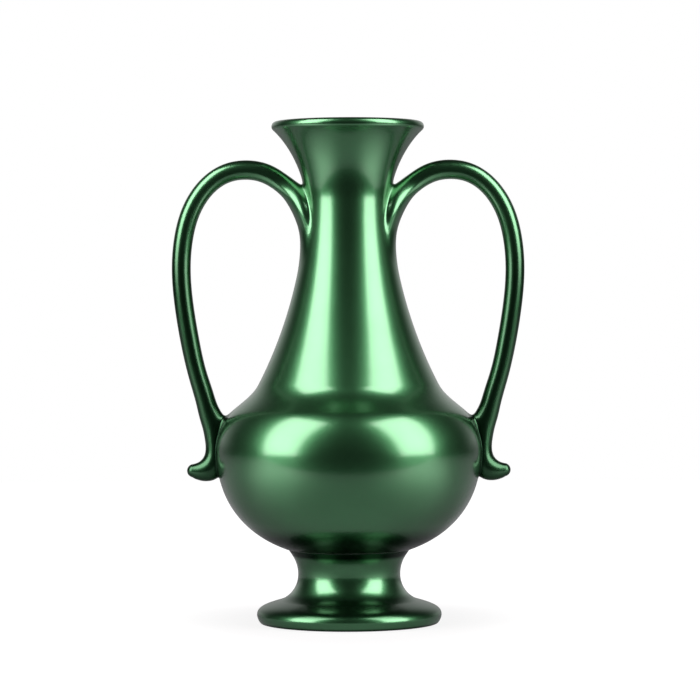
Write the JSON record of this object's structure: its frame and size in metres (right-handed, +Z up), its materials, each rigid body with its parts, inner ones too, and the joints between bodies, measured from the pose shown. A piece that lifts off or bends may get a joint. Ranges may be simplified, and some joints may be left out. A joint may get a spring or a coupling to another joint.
{
  "type": "amphora vase",
  "caption": "Footed metal amphora vase with a flared neck, a round belly and tall looped handles, made to stand on a table as decoration or to hold flowers.",
  "frame": {"origin": "on the surface that the vase stands on, under its vertical axis", "axes": "+Z up along the vase's axis, handles along -X and +X, and the pictured side facing -Y"},
  "size_m": [0.2462, 0.1848, 0.35],
  "materials": {
    "green_shells": "gloss metallic green lacquer on spun aluminium",
    "green_castings": "gloss metallic green lacquer on cast aluminium",
    "aluminium": "satin",
    "steel": "zinc plated",
    "rubber": "matte black",
    "felt": "dark green felt"
  },
  "bodies": {
    "root": {"neck_shell": "green_shells", "bowl_shell": "green_shells", "rim_wire": "steel", "pedestal": "green_castings", "handle_left": "green_castings", "handle_right": "green_castings", "floor_disc": "aluminium", "floor_gasket": "rubber", "base_plate": "steel", "felt_pad": "felt", "tie_bolt": "steel", "tie_bolt_seal": "rubber", "tie_washer": "steel", "tie_nut": "steel", "neck_screw_left": "steel", "neck_screw_right": "steel", "bowl_screw_left": "steel", "bowl_screw_right": "steel", "neck_washer_left": "rubber", "neck_washer_right": "rubber", "bowl_washer_left": "rubber", "bowl_washer_right": "rubber"}
  },
  "joints": []
}
